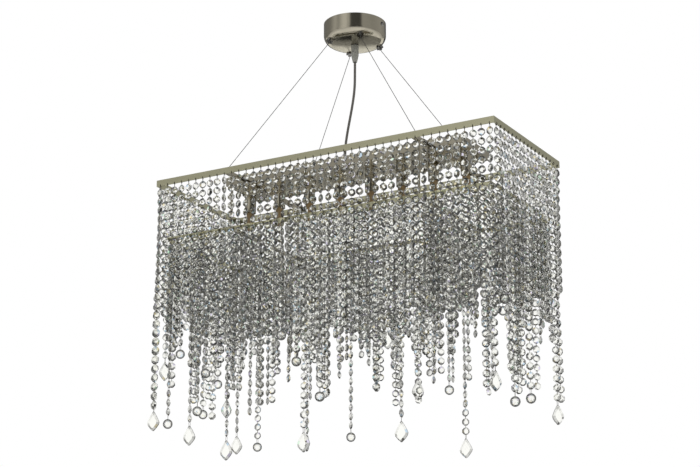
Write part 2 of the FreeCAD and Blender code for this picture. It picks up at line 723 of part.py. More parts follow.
def pendant(kind, x, y, top, wide_along_x):
    """A faceted drop or ball on a short link."""
    link = number("pendant_link")
    gap = number("pendant_gap")
    if kind == "ball":
        width = height = thickness = number("ball_diameter")
        levels = BALL_RINGS
    else:
        width = number("drop_width")
        height = number("drop_height")
        thickness = number("drop_thickness")
        levels = DROP_RINGS
    if wide_along_x == (kind == "turned drop"):
        width, thickness = thickness, width
    thin = number("link_width") / width
    rings = [ring(x, y, top - gap, width * thin / 2, thickness * thin / 2, PENDANT_SIDES)]
    for share, depth in levels:
        rings.append(ring(x, y, top - link - depth * height, width * share / 2, thickness * share / 2,
                          PENDANT_SIDES))
    return faceted_solid(rings)


def curtain(places, counts, kinds, top, wide_along_x):
    """One side's hanging strings and their pendants."""
    strings = []
    pendants = {"ball": [], "drop": []}
    for hook, (x, y) in enumerate(places):
        beads = counts[hook % len(counts)]
        kind = kinds.get(hook)
        length = strand_length(beads)
        if kind is None:
            strings.append(strand(x, y, top, wide_along_x, length))
            continue
        plain = strand_length(beads - TAIL_BEAD_COUNT)
        strings.append(strand(x, y, top, wide_along_x, plain))
        strings.append(cut_beads(x, y, top - plain, wide_along_x, TAIL_BEAD_COUNT))
        pendants[kind.split()[-1]].append(pendant(kind, x, y, top - length, wide_along_x))
    return strings, pendants


def hooks(length):
    """Evenly spaced hook places along a strip, centred on its middle."""
    pitch = number("hook_pitch")
    count = int((length - 2 * number("hook_end_margin")) / pitch) + 1
    return [pitch * (step - (count - 1) / 2) for step in range(count)]


def outer_strands():
    """The strings on the top frame's four strips, in one group for each side."""
    top = number(FRAME_BOTTOM)
    half_x = number("(frame_length - strip_thickness) / 2")
    half_y = number("(frame_width - strip_thickness) / 2")
    along_x = hooks(number("frame_length"))
    along_y = hooks(number("frame_width"))
    front, front_pendants = curtain([(-x, -half_y) for x in along_x], FRONT_BEADS, FRONT_PENDANTS, top, True)
    back, back_pendants = curtain([(-x, half_y) for x in along_x], BACK_BEADS, BACK_PENDANTS, top, True)
    left, left_pendants = curtain([(-half_x, y) for y in along_y], LEFT_BEADS, LEFT_PENDANTS, top, False)
    right, right_pendants = curtain([(half_x, y) for y in along_y], RIGHT_BEADS, RIGHT_PENDANTS, top, False)
    for label, solids in (("front_strands", front), ("front_drops", front_pendants["drop"]),
                          ("front_balls", front_pendants["ball"]),
                          ("back_strands", back), ("back_drops", back_pendants["drop"]),
                          ("back_balls", back_pendants["ball"]),
                          ("left_strands", left),
                          ("left_pendants", left_pendants["drop"] + left_pendants["ball"]),
                          ("right_strands", right),
                          ("right_pendants", right_pendants["drop"] + right_pendants["ball"])):
        fixed_shape(Part.Compound(solids), label)


def inner_strands():
    """The shorter strings that hang from the lower grid and its cross bars."""
    rail_x = number(f"{GRID_HALF_X} - strip_thickness / 2")
    rail_y = number(f"{GRID_HALF_Y} - strip_thickness / 2")
    bar_x = number("cross_bar_half_spacing")
    along_x = hooks(2 * number(GRID_HALF_X))
    along_y = hooks(2 * number(GRID_HALF_Y))
    across = along_y[1:-1]
    rail_bottom = number(GRID_BOTTOM)
    bar_bottom = number(f"{GRID_TOP} - grid_bar_size")
    rows = (
        ("inner_front_strands", [(-x, -rail_y) for x in along_x], INNER_FRONT_BEADS, rail_bottom, True),
        ("inner_back_strands", [(-x, rail_y) for x in along_x], INNER_BACK_BEADS, rail_bottom, True),
        ("inner_left_strands", [(-rail_x, y) for y in along_y], INNER_LEFT_BEADS, rail_bottom, False),
        ("inner_right_strands", [(rail_x, y) for y in along_y], INNER_RIGHT_BEADS, rail_bottom, False),
        ("cross_left_strands", [(-bar_x, y) for y in across], CROSS_LEFT_BEADS, bar_bottom, False),
        ("cross_right_strands", [(bar_x, y) for y in across], CROSS_RIGHT_BEADS, bar_bottom, False),
    )
    for label, places, counts, top, wide_along_x in rows:
        solids = []
        for hook, (x, y) in enumerate(places):
            beads = counts[hook % len(counts)]
            solids.append(strand(x, y, top, wide_along_x, strand_length(beads), pointed=False))
        fixed_shape(Part.Compound(solids), label)


def rounded_route(points, radius=None):
    """Straight runs joined by tangent arcs. Without a radius each arc is as large as fits."""
    edges = []
    start = points[0]
    radii = []
    for before, corner, after in zip(points, points[1:], points[2:]):
        incoming = (corner - before).normalize()
        outgoing = (after - corner).normalize()
        half_turn = incoming.getAngle(outgoing) / 2
        shorter = min(corner.distanceToPoint(before), corner.distanceToPoint(after))
        setback = 0.45 * shorter if radius is None else radius * math.tan(half_turn)
        radii.append(setback / math.tan(half_turn))
        entry = corner - incoming * setback
        leave = corner + outgoing * setback
        bisector = (outgoing - incoming).normalize()
        middle = corner + bisector * (radii[-1] / math.cos(half_turn) - radii[-1])
        edges.append(Part.LineSegment(start, entry).toShape())
        edges.append(Part.Arc(entry, middle, leave).toShape())
        start = leave
    edges.append(Part.LineSegment(start, points[-1]).toShape())
    return Part.Wire(edges), radii


def tube(points, radius, label, bend_radius=None):
    """A round cord along a route, checked against its section times its length."""
    route, radii = rounded_route(points, bend_radius)
    section = Part.Wire([Part.makeCircle(radius, points[0], points[1] - points[0])])
    solid = route.makePipeShell([section], True, False)
    expected = math.pi * radius ** 2 * route.Length
    if abs(solid.Volume / expected - 1) > 0.01:
        raise RuntimeError(f"{label}: the tube's volume is wrong")
    print(label, "bend radii", [round(value, 1) for value in radii], "length", round(route.Length, 1))
    return solid


def suspension():
    """The four steel cables and the power cord, and the cables' ends inside the canopy."""
    run = number("cable_end_run")
    reach = number("gripper_barrel_length + nose_reach")
    cables = []
    tails = []
    for seat, outward in gripper_axes():
        top = seat + outward * reach
        foot = FreeCAD.Vector(math.copysign(number("cross_bar_half_spacing"), seat.x),
                              math.copysign(number(ANCHOR_Y), seat.y), number(ANCHOR_TOP))
        cables.append(tube([top, top + outward * run, foot + UP * run, foot], number("cable_radius"),
                           "suspension cable", number("cable_bend_radius")))
        tails.append(on_axis("cable_radius", "nose_reach + gripper_barrel_length + gripper_stem_length"
                             " + cable_end_run", top, outward * -1))
    fixed_shape(Part.Compound(cables), "suspension_cables")
    node(group(tails), "cable_tails")
    tip = number(GRIP_TIP)
    points = [FreeCAD.Vector(x, y, tip - depth) for x, y, depth in CORD_POINTS]
    points.append(FreeCAD.Vector(number("grommet_shift"), 0, number(CORD_END)))
    fixed_shape(tube(points, number("cord_radius"), "power cord"), "power_cord")


def build():
    """Make every sub-part."""
    ceiling_bracket()
    canopy()
    side_screws()
    terminal_blocks()
    grippers()
    cord_outlet()
    frame_rails("frame", "(frame_length / 2)", "(frame_width / 2)", "frame_strip_height", FRAME_BOTTOM)
    frame_rails("grid", GRID_HALF_X, GRID_HALF_Y, "grid_strip_height", GRID_BOTTOM)
    carriers()
    lamp_tray()
    lamps()
    outer_strands()
    inner_strands()
    suspension()


def export():
    """Check everything, then write one file for each sub-part."""
    doc.recompute()
    failed = [thing.Label for thing in doc.Objects
              if "Invalid" in thing.State or "Error" in thing.State]
    failed += [thing.Label for thing in NODES if thing.Shape.isNull() or not thing.Shape.isValid()]
    if failed:
        raise RuntimeError(f"failed objects: {failed}")
    os.makedirs("parts", exist_ok=True)
    for thing in NODES:
        thing.Shape.exportStep(f"parts/{thing.Label}.step")
    print(len(NODES), "sub-parts")


build()
export()
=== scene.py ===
"""A crystal chandelier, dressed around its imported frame.

A canopy on the ceiling holds four thin cables and a power cord. They carry a flat frame with
eight lamp sleeves, a lower grid, and about 260 strings of cut crystal beads.
All lengths are metres, in the same frame as the solids.
"""

import json
import logging
import math
from dataclasses import dataclass
from enum import Enum
from functools import cache

import bpy
import numpy as np
from bpy.types import ID, Material, Node, NodeTree, Object
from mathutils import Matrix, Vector
from numpy.random import Generator

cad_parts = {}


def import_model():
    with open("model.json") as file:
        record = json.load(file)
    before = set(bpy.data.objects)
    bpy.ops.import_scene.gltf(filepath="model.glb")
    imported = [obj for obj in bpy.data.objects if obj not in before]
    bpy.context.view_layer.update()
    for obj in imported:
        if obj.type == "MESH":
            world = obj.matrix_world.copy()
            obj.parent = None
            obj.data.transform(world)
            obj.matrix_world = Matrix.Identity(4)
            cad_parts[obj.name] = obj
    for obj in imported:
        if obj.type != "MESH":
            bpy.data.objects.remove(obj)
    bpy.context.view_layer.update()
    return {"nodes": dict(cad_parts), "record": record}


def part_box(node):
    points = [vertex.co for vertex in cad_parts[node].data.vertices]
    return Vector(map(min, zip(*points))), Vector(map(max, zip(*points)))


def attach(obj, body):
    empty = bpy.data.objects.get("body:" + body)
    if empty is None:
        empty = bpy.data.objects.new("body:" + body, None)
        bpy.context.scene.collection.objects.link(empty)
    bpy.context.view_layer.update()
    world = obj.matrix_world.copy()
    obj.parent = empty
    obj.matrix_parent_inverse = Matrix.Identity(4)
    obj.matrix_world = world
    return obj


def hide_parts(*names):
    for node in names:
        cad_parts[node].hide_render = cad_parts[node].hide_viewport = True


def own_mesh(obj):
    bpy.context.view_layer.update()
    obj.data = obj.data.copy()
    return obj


LOG = logging.getLogger("chandelier")

Point = tuple[float, float, float]
Colour = tuple[float, float, float]

MM = 0.001
FULL_TURN = 2 * math.pi
LIGHT_BOUNCES = 24
HOOK_PITCH = 17 * MM
BEAD_PITCH = 18 * MM
BEAD_SIZE = 14 * MM
FIRST_BEAD_DROP = 13.5 * MM
SAME_PLACE = 0.01 * MM
PAINTED_FACET_SHADE = "facet_shade"
GLASS_TINT = (1.0, 1.0, 0.955)
CLOTH_TINT = (1.0, 1.0, 0.95)
# Painted glints: tints for the coloured fire of cut glass, the first leaving a facet plain.
PAINTED_FIRE_TINTS = (
    (1.0, 1.0, 1.0), (1.0, 0.82, 0.42), (0.45, 0.68, 1.0), (0.6, 0.95, 0.7), (0.72, 0.64, 1.0))


class Slot(Enum):
    """The record's material slots."""

    POLISHED_NICKEL = "polished_nickel"
    CHAMPAGNE_STRIP = "champagne_strip"
    CHROME_FITTINGS = "chrome_fittings"
    ZINC_STEEL = "zinc_steel"
    STEEL_CABLE = "steel_cable"
    GREY_PLASTIC = "grey_plastic"
    WHITE_PLASTIC = "white_plastic"
    CERAMIC = "ceramic"
    AMBER_LAMP = "amber_lamp"
    CRYSTAL = "crystal"


class Along(Enum):
    """The plan axis that a row of strings follows."""

    X = 0
    Y = 1


# Nodes and finishes


def set_sockets(node: Node, **values: object) -> Node:
    """Sets a node's inputs.

    Args:
        node: the node.
        values: socket names, with underscores for spaces, and their values.

    Returns:
        The node.
    """
    for name, value in values.items():
        node.inputs[name.replace("_", " ")].default_value = value
    return node


def add_node(tree: NodeTree, kind: str, **values: object) -> Node:
    """Adds a node of this type and sets its inputs by name."""
    return set_sockets(tree.nodes.new(kind), **values)


def join(tree: NodeTree, *runs: tuple) -> None:
    """Links nodes: each run is a node and its output, then a node and its input."""
    for source, outlet, target, inlet in runs:
        tree.links.new(source.outputs[outlet], target.inputs[inlet])


def start_material(name: str, **values: object) -> tuple[Material, Node]:
    """Makes a material.

    Args:
        name: the material's name.
        values: names and values of its shader's own sockets.

    Returns:
        The material and its shader.
    """
    material = bpy.data.materials.new(name)
    material.use_nodes = True
    return material, set_sockets(material.node_tree.nodes["Principled BSDF"], **values)


def add_object(name: str, data: ID) -> Object:
    """Puts an object in the scene.

    Args:
        name: the object's name.
        data: its mesh, curve, light or camera.

    Returns:
        The object.
    """
    added = bpy.data.objects.new(name, data)
    bpy.context.scene.collection.objects.link(added)
    return added


class NoiseGroup:
    """A shader node group round one cloudy noise, sized by the group's Scale input."""

    def __init__(self, name: str, inputs: dict[str, str], outputs: dict[str, str],
                 **noise: float) -> None:
        """Makes the group with its sockets, and its noise on Object coordinates.

        Args:
            name: the group's name.
            inputs: each input's name and type.
            outputs: each output's name and type.
            noise: the noise node's own values.
        """
        self.tree = bpy.data.node_groups.new(name, "ShaderNodeTree")
        for way, sockets in (("INPUT", inputs), ("OUTPUT", outputs)):
            for label, kind in sockets.items():
                self.tree.interface.new_socket(label, in_out=way, socket_type=f"NodeSocket{kind}")
        self.ends = self.tree.nodes.new("NodeGroupInput")
        self.out = self.tree.nodes.new("NodeGroupOutput")
        self.cloud = add_node(self.tree, "ShaderNodeTexNoise", **noise)
        place = self.tree.nodes.new("ShaderNodeTexCoord")
        join(self.tree, (place, "Object", self.cloud, "Vector"),
             (self.ends, "Scale", self.cloud, "Scale"))


@cache
def handled_surface() -> NodeTree:
    """Polish that varies: a roughness that wanders with cloudy noise, and a fine waviness.

    Returns:
        The group, with Roughness and Height outputs.
    """
    group = NoiseGroup(
        "handled_surface", {"Scale": "Float", "Smoothest": "Float", "Roughest": "Float"},
        {"Roughness": "Float", "Height": "Float"}, Detail=4.0, Roughness=0.6)
    spread = add_node(group.tree, "ShaderNodeMapRange", From_Min=0.3, From_Max=0.7)
    join(group.tree, (group.cloud, "Fac", spread, "Value"),
         (group.ends, "Smoothest", spread, "To Min"), (group.ends, "Roughest", spread, "To Max"),
         (spread, "Result", group.out, "Roughness"), (group.cloud, "Fac", group.out, "Height"))
    return group.tree


@cache
def mottled_tone() -> NodeTree:
    """A colour that drifts between two tones with fine noise.

    Returns:
        The group, with a Color output.
    """
    group = NoiseGroup("mottled_tone", {"Scale": "Float", "Dark": "Color", "Light": "Color"},
                       {"Color": "Color"}, Detail=3.0, Roughness=0.55)
    mix = group.tree.nodes.new("ShaderNodeMix")
    mix.data_type = "RGBA"
    join(group.tree, (group.cloud, "Fac", mix, "Factor"), (group.ends, "Dark", mix, "A"),
         (group.ends, "Light", mix, "B"), (mix, "Result", group.out, "Color"))
    return group.tree


def shade(colour: Colour, by: float) -> tuple[float, float, float, float]:
    """A colour made darker or lighter by a factor, with full alpha."""
    red, green, blue = (min(1.0, part * by) for part in colour)
    return (red, green, blue, 1.0)


@dataclass(frozen=True)
class Finish:
    """A surface finish of mottled tone and handled polish.

    Its colour drifts a little about the mean, and its roughness wanders between two values.
    """

    name: str
    colour: Colour
    roughness: tuple[float, float]
    metallic: float = 0.0
    tone_spread: float = 0.06
    tone_scale: float = 60.0
    polish_scale: float = 40.0
    waviness: float = 0.02
    coat: float = 0.0

    @cache
    def material(self) -> Material:
        """Builds the material once and returns it afterwards.

        Returns:
            The material of this finish.
        """
        material, surface = start_material(
            self.name, Metallic=self.metallic, Coat_Weight=self.coat)
        tree = material.node_tree
        tone = tree.nodes.new("ShaderNodeGroup")
        tone.node_tree = mottled_tone()
        set_sockets(tone, Scale=self.tone_scale, Dark=shade(self.colour, 1 - self.tone_spread),
                    Light=shade(self.colour, 1 + self.tone_spread))
        polish = tree.nodes.new("ShaderNodeGroup")
        polish.node_tree = handled_surface()
        smoothest, roughest = self.roughness
        set_sockets(polish, Scale=self.polish_scale, Smoothest=smoothest, Roughest=roughest)
        bump = add_node(tree, "ShaderNodeBump", Strength=self.waviness, Distance=MM)
        join(tree, (tone, "Color", surface, "Base Color"),
             (polish, "Roughness", surface, "Roughness"), (polish, "Height", bump, "Height"),
             (bump, "Normal", surface, "Normal"))
        return material


POLISHED_NICKEL = Finish("polished_nickel_plate", (0.46, 0.425, 0.34), (0.1, 0.18), metallic=1.0,
                         tone_spread=0.03, waviness=0.004)
CHAMPAGNE_STRIP = Finish("champagne_nickel_strip", (0.58, 0.56, 0.39), (0.14, 0.24), metallic=1.0,
                         tone_spread=0.03, waviness=0.006)
DARK_CHROME = Finish("dark_chrome_plate", (0.26, 0.255, 0.24), (0.06, 0.14), metallic=1.0)
# The link wire's grey is partly painted shade: darker than bare nickel, for the dark things the
# links reflect.
LINK_WIRE = Finish("nickel_link_wire", (0.30, 0.29, 0.26), (0.15, 0.25), metallic=1.0)
HOOK_WIRE = Finish("dark_hook_wire", (0.07, 0.065, 0.055), (0.3, 0.4), metallic=0.9)
ZINC_STEEL = Finish("zinc_plated_steel", (0.50, 0.51, 0.52), (0.3, 0.5), metallic=1.0)
STEEL_WIRE = Finish("twisted_steel_wire", (0.02, 0.02, 0.02), (0.35, 0.5))
GREY_GRIP = Finish("translucent_grey_grip", (0.22, 0.22, 0.195), (0.2, 0.35))
CORD_SHEATH = Finish("grey_cord_sheath", (0.09, 0.085, 0.075), (0.35, 0.5))
WHITE_PLASTIC = Finish("moulded_white_plastic", (0.84, 0.84, 0.81), (0.35, 0.5))
GLAZED_CERAMIC = Finish("glazed_ceramic", (0.86, 0.85, 0.81), (0.2, 0.4))
AMBER_LAMP = Finish("amber_lamp_capsule", (0.2, 0.135, 0.06), (0.1, 0.2), coat=0.6)
SLOT_FINISHES = {
    Slot.POLISHED_NICKEL: POLISHED_NICKEL,
    Slot.CHAMPAGNE_STRIP: CHAMPAGNE_STRIP,
    Slot.CHROME_FITTINGS: DARK_CHROME,
    Slot.ZINC_STEEL: ZINC_STEEL,
    Slot.STEEL_CABLE: STEEL_WIRE,
    Slot.GREY_PLASTIC: GREY_GRIP,
    Slot.WHITE_PLASTIC: WHITE_PLASTIC,
    Slot.CERAMIC: GLAZED_CERAMIC,
    Slot.AMBER_LAMP: AMBER_LAMP,
}


@dataclass(frozen=True)
class CutCrystal:
    """Clear cut crystal whose facets each pass a different share of light, as painted shade.

    The share is the mesh's own colour for each face: painted shade for the dark surroundings
    seen through the glass. It falls further where a face is seen edge on: painted rim shade.
    """

    name: str = "clear_cut_crystal"
    refraction: float = 1.38
    rim_start: float = 0.2
    rim_end: float = 0.85
    painted_rim_shade: float = 0.4

    @cache
    def material(self) -> Material:
        """Builds the material once and returns it afterwards.

        Returns:
            The crystal material.
        """
        material, surface = start_material(
            self.name, Transmission_Weight=1.0, IOR=self.refraction, Roughness=0.0)
        tree = material.node_tree
        facets = tree.nodes.new("ShaderNodeAttribute")
        facets.attribute_name = PAINTED_FACET_SHADE
        # Painted rim shade: the facet colour falls where a face is seen edge on.
        rim = add_node(tree, "ShaderNodeLayerWeight", Blend=0.5)
        falloff = add_node(tree, "ShaderNodeMapRange", From_Min=self.rim_start,
                           From_Max=self.rim_end, To_Min=1.0, To_Max=self.painted_rim_shade)
        darker = tree.nodes.new("ShaderNodeVectorMath")
        darker.operation = "SCALE"
        join(tree, (rim, "Facing", falloff, "Value"), (facets, "Color", darker, 0),
             (falloff, "Result", darker, "Scale"), (darker, "Vector", surface, "Base Color"))
        return material


CRYSTAL = CutCrystal()
# The balls' dark ring is painted rim shade.
BALL_CRYSTAL = CutCrystal("clear_ball_crystal", rim_start=0.16, rim_end=0.3, painted_rim_shade=0.05)


# Meshes


@dataclass
class Shape:
    """A mesh as arrays: points, and groups of faces with one count of corners each."""

    points: np.ndarray
    faces: list[np.ndarray]
    shades: np.ndarray | None = None
    smooth: bool = False

    def placed(self, name: str, body: str, slot: Slot, finish: Finish | CutCrystal,
               node: str = "") -> Object:
        """Puts the mesh in the scene as a piece that rides on a body.

        Args:
            name: the piece's name.
            body: the body it rides on.
            slot: the record's slot; not used.
            finish: what gives its material.
            node: the node that it replaces, if any.

        Returns:
            The new object.
        """
        mesh = bpy.data.meshes.new(name)
        corners = np.concatenate([group.ravel() for group in self.faces])
        sizes = np.concatenate([np.full(len(group), group.shape[1]) for group in self.faces])
        starts = np.concatenate([[0], np.cumsum(sizes)[:-1]])
        mesh.vertices.add(len(self.points))
        mesh.loops.add(len(corners))
        mesh.polygons.add(len(sizes))
        mesh.vertices.foreach_set("co", self.points.astype(np.float32).ravel())
        mesh.loops.foreach_set("vertex_index", corners.astype(np.int32))
        mesh.polygons.foreach_set("loop_start", starts.astype(np.int32))
        mesh.update(calc_edges=True)
        mesh.polygons.foreach_set("use_smooth", np.full(len(sizes), self.smooth))
        if self.shades is not None:
            layer = mesh.attributes.new(PAINTED_FACET_SHADE, "FLOAT_COLOR", "FACE")
            layer.data.foreach_set("color", self.shades.astype(np.float32).ravel())
        mesh.validate()
        mesh.materials.append(finish.material())
        piece = add_object(name, mesh)
        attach(piece, body)
        if node:
            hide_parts(node)
        LOG.info("%s: %d faces", name, len(sizes))
        return piece


def joined(shapes: list[Shape]) -> Shape:
    """Several shapes as one, which is smooth if the first is.

    Args:
        shapes: the shapes, either all with shades or all without.

    Returns:
        The one shape.
    """
    starts = np.cumsum([0] + [len(shape.points) for shape in shapes])
    faces = [group + start for shape, start in zip(shapes, starts) for group in shape.faces]
    shades = [shape.shades for shape in shapes if shape.shades is not None]
    return Shape(np.concatenate([shape.points for shape in shapes]), faces,
                 np.concatenate(shades) if shades else None, shapes[0].smooth)


def grid_points(x: np.ndarray, y: np.ndarray, z: np.ndarray) -> np.ndarray:
    """One row of x, y and z for each point of a grid, whose coordinates spread to one size."""
    return np.stack(np.broadcast_arrays(x, y, z), axis=-1).reshape(-1, 3)


def grid_faces(rows: int, columns: int) -> np.ndarray:
    """Quads of a tube's grid: each row is a closed ring of points, and rows follow one another.

    Args:
        rows: how many rings there are.
        columns: how many points each ring has.

    Returns:
        Four point numbers for each quad, ring by ring.
    """
    row, column = np.meshgrid(np.arange(rows - 1), np.arange(columns), indexing="ij")
    after = (column + 1) % columns
    quads = np.stack([row * columns + column, row * columns + after,
                      (row + 1) * columns + after, (row + 1) * columns + column], axis=-1)
    return quads.reshape(-1, 4)


def tiled(shape: Shape, turns: np.ndarray, places: np.ndarray,
          shades: np.ndarray | None = None) -> Shape:
    """Copies a small shape to many places, each copy turned about its own vertical axis.

    A copy's point is the shape's point turned by its angle, plus its place.

    Args:
        shape: the small shape.
        turns: one angle for each copy.
        places: one point for each copy.
        shades: a colour for each face, group by group of all the copies, or None.

    Returns:
        All the copies as one shape.
    """
    cosine, sine = np.cos(turns)[:, None], np.sin(turns)[:, None]
    x, y, z = shape.points.T
    right, back, up = places.T[:, :, None]
    points = grid_points(cosine * x - sine * y + right, sine * x + cosine * y + back, z + up)
    starts = np.arange(len(turns))[:, None, None] * len(shape.points)
    faces = [(group[None] + starts).reshape(-1, group.shape[1]) for group in shape.faces]
    return Shape(points, faces, shades, shape.smooth)


def tube_along(path: np.ndarray, radius: float, sides: int) -> Shape:
    """A round tube: each path point carries a ring square to the path, and no ring twists.

    Args:
        path: the points of the tube's middle line.
        radius: the tube's radius.
        sides: how many points each ring has.

    Returns:
        The tube, closed at both ends.
    """
    heading = np.gradient(path, axis=0)
    heading /= np.linalg.norm(heading, axis=1, keepdims=True)
    across = np.cross(heading, (0.0, 1.0, 0.0))
    across /= np.linalg.norm(across, axis=1, keepdims=True)
    other = np.cross(heading, across)
    angle = np.linspace(0, FULL_TURN, sides, endpoint=False)[None, :, None]
    around = np.cos(angle) * across[:, None, :] + np.sin(angle) * other[:, None, :]
    rings = path[:, None, :] + radius * around
    first = np.arange(sides)[None, :]
    caps = [first[:, ::-1], (len(path) - 1) * sides + first]
    return Shape(rings.reshape(-1, 3), [grid_faces(len(path), sides)] + caps, smooth=True)


# Crystal


def plain_colour(grey: np.ndarray) -> np.ndarray:
    """Greys as the crystal's own faintly warm colour, with full alpha as the fourth value."""
    tinted = grey[..., None] * np.array(GLASS_TINT)
    return np.concatenate([tinted, np.ones(grey.shape + (1,))], axis=-1)


@dataclass(frozen=True)
class Octagon:
    """One octagonal bead: a table on each side, a crown of facets round each, a thin girdle."""

    size: float = BEAD_SIZE
    thickness: float = 6.4 * MM
    girdle: float = 1.6 * MM
    table_share: float = 0.5
    sides: int = 8
    bands: int = 3
    # Painted shade: these greys darken one side of each crown, the girdle and, a little, the
    # tables.
    darkest: float = 0.17
    rim_brightest: float = 0.85
    scatter: float = 0.1
    dark_until: float = 0.18
    bright_from: float = 0.42
    table_painted_darkest: float = 0.93
    painted_fire_odds: tuple[float, ...] = (0.93, 0.02, 0.025, 0.01, 0.015)

    def shape(self) -> Shape:
        """Four octagons, one behind another, joined by quads and closed by the two tables.

        Returns:
            The bead, its tables facing along Y.
        """
        corner = (np.arange(self.sides) + 0.5) * FULL_TURN / self.sides
        reach = self.size / 2 / math.cos(math.pi / self.sides)
        shares = np.array([self.table_share, 1.0, 1.0, self.table_share])
        depths = np.array([-self.thickness, -self.girdle, self.girdle, self.thickness]) / 2
        x = shares[:, None] * reach * np.cos(corner)[None, :]
        z = shares[:, None] * reach * np.sin(corner)[None, :]
        quads = grid_faces(self.bands + 1, self.sides)[:, ::-1]
        table = np.arange(self.sides)[None, :]
        far_table = (table + self.bands * self.sides)[:, ::-1]
        return Shape(grid_points(x, depths[:, None], z), [quads, table, far_table])

    def shades(self, painted_shade_sides: np.ndarray, dice: Generator) -> np.ndarray:
        """A colour of painted shade for each facet of each bead: pale tables, and a crown dark on
        one side.

        The dark side is painted shade for the dark surroundings seen through the cut glass. A
        facet's rise is zero on its dark side and one on the far side, by the cosine. Its grey goes
        from the darkest to the brightest between two rises, plus a little chance.

        Args:
            painted_shade_sides: for each bead, the angle round its rim where the crown is darkest.
            dice: the source of chance.

        Returns:
            A colour for each facet: bead by bead round the sides, then the tables of one side,
            then those of the other.
        """
        count = len(painted_shade_sides)
        facet = (np.arange(self.sides) + 1) * FULL_TURN / self.sides
        rise = 0.5 - 0.5 * np.cos(facet[None, None, :] - painted_shade_sides[:, None, None])
        spread = dice.normal(0, self.scatter, (count, self.bands, self.sides))
        ramp = (rise + spread - self.dark_until) / (self.bright_from - self.dark_until)
        brightest = np.array([1.0, self.rim_brightest, 1.0])[None, :, None]
        grey = self.darkest + (brightest - self.darkest) * np.clip(ramp, 0, 1)
        table = dice.uniform(self.table_painted_darkest, 1.0, (count, 2))
        crown = self.with_painted_fire(grey.ravel(), dice)
        return np.concatenate([crown, plain_colour(table.T.ravel())])

    def with_painted_fire(self, grey: np.ndarray, dice: Generator) -> np.ndarray:
        """Greys as nearly neutral colours, with a few painted glints of gold, blue, green and
        violet fire.

        Args:
            grey: the greys.
            dice: the source of chance.

        Returns:
            A colour for each grey.
        """
        pick = dice.choice(len(PAINTED_FIRE_TINTS), size=grey.shape, p=self.painted_fire_odds)
        colours = plain_colour(grey)
        colours[..., :3] *= np.array(PAINTED_FIRE_TINTS)[pick]
        return colours


OUTER_BEAD = Octagon()
# The inner beads carry more painted shade: dimmer tables and more of each crown dark, for the shade
# inside the curtains.
PAINTED_SHADE_INNER_BEAD = Octagon(darkest=0.18, dark_until=0.3, bright_from=0.6, table_painted_darkest=0.5)


@dataclass
class Link:
    """The wire link between two beads: a long ring of few sides."""

    height: float = 7.6 * MM
    width: float = 2.6 * MM
    wire: float = 0.45 * MM
    steps: int = 6
    sides: int = 3

    def shape(self) -> Shape:
        """A ring that is taller than wide, of thin wire, standing across the beads.

        Returns:
            The link, about its middle.
        """
        around = (np.arange(self.steps) + 0.5) * FULL_TURN / self.steps
        section = np.arange(self.sides) * FULL_TURN / self.sides
        out = self.wire * np.cos(section)[None, :]
        y = (self.width / 2 + out) * np.cos(around)[:, None]
        z = (self.height / 2 + out) * np.sin(around)[:, None]
        points = grid_points(self.wire * np.sin(section)[None, :], y, z)
        quads = grid_faces(self.steps + 1, self.sides) % len(points)
        return Shape(points, [quads[:, ::-1]])


def node_points(node: Object) -> np.ndarray:
    """A solid's own points, in the frame that all pieces share.

    Args:
        node: the solid.

    Returns:
        One row of x, y and z for each point.
    """
    flat = np.empty(len(node.data.vertices) * 3)
    node.data.vertices.foreach_get("co", flat)
    matrix = np.array(node.matrix_world)
    return flat.reshape(-1, 3) @ matrix[:3, :3].T + matrix[:3, 3]


@dataclass
class Row:
    """One row of strings below a strip, as the solids of one node give them."""

    node: str
    along: Along
    top: float
    level: float
    places: np.ndarray
    bottoms: np.ndarray

    @classmethod
    def read(cls, node: Object, along: Along, top: float) -> "Row":
        """Finds the hooks and the length of each string from the node's points.

        Hooks are a pitch apart and centred on the row, so a point's hook is its distance along
        the row divided by the pitch, rounded.

        Args:
            node: the node that the strings replace.
            along: the plan axis of the row.
            top: the height of the strip's lower edge.

        Returns:
            The row.
        """
        points = node_points(node)
        line = points[:, along.value]
        hooks = int(round((line.max() - line.min()) / HOOK_PITCH - 0.5)) + 1
        index = np.round(line / HOOK_PITCH + (hooks - 1) / 2).astype(int)
        bottoms = np.full(hooks, top)
        np.minimum.at(bottoms, index, points[:, 2])
        places = (np.arange(hooks) - (hooks - 1) / 2) * HOOK_PITCH
        side = points[:, 1 - along.value]
        return cls(node.name, along, top, (side.max() + side.min()) / 2, places, bottoms)

    def beads(self) -> np.ndarray:
        """How many beads each string has."""
        spans = self.top - self.bottoms - FIRST_BEAD_DROP - BEAD_SIZE / 2
        return np.round(spans / BEAD_PITCH).astype(int) + 1

    def at(self, line: np.ndarray, heights: np.ndarray) -> np.ndarray:
        """Points on the row's own line, at these distances along it and these heights."""
        plan = (line, self.level) if self.along is Along.X else (self.level, line)
        return grid_points(*plan, heights)

    def facing(self) -> float:
        """The turn that lays a bead flat to the row."""
        return 0.0 if self.along is Along.X else math.pi / 2


